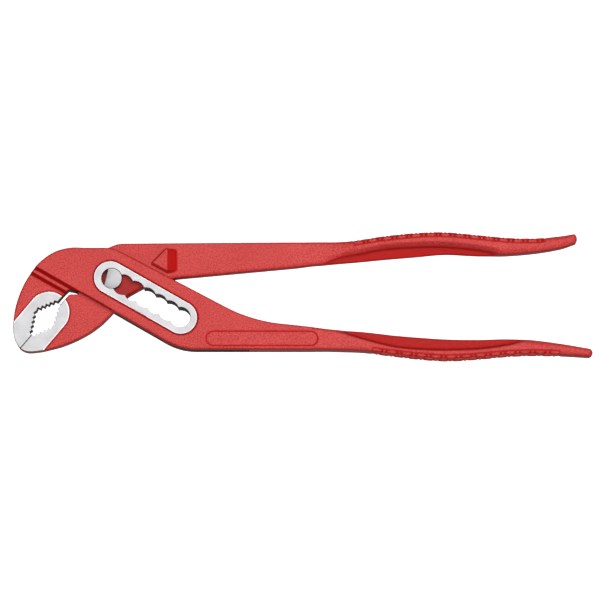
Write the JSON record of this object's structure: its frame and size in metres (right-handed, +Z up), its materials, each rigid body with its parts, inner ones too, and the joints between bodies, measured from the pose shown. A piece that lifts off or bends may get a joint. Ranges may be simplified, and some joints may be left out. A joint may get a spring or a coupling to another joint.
{
  "type": "tongue and groove pliers",
  "caption": "Adjustable gripping pliers with a through joint: a D-shaped pin sets the toothed jaws' opening in a scalloped slot, with slim forged handles.",
  "frame": {"origin": "middle of the bounding box's underside, with the pliers lying flat and closed in the first slot position", "axes": "+X from the jaws to the handle ends, +Y from the lower handle to the upper one, +Z up through the flat pliers, along the joint pin"},
  "size_m": [0.2998, 0.0662, 0.0184],
  "materials": {
    "red_powder_coat": "fine-textured red powder coat, semi-gloss",
    "ground_steel": "ground bare steel"
  },
  "bodies": {
    "slotted_arm": {"slotted_arm": "red_powder_coat"},
    "joint_pin": {"joint_pin": "ground_steel"},
    "through_arm": {"through_arm": "red_powder_coat"}
  },
  "joints": [
    {"name": "position_slide", "type": "slide", "parent": "slotted_arm", "child": "joint_pin", "axis": [0.8686, -0.4955, 0], "range_m": [0, 0.0408]},
    {"name": "handle_hinge", "type": "hinge", "parent": "joint_pin", "child": "through_arm", "pos_m": [-0.09888, 0.00872, 0.0092], "axis": [0, 0, 1], "range_deg": [0, 78]}
  ]
}
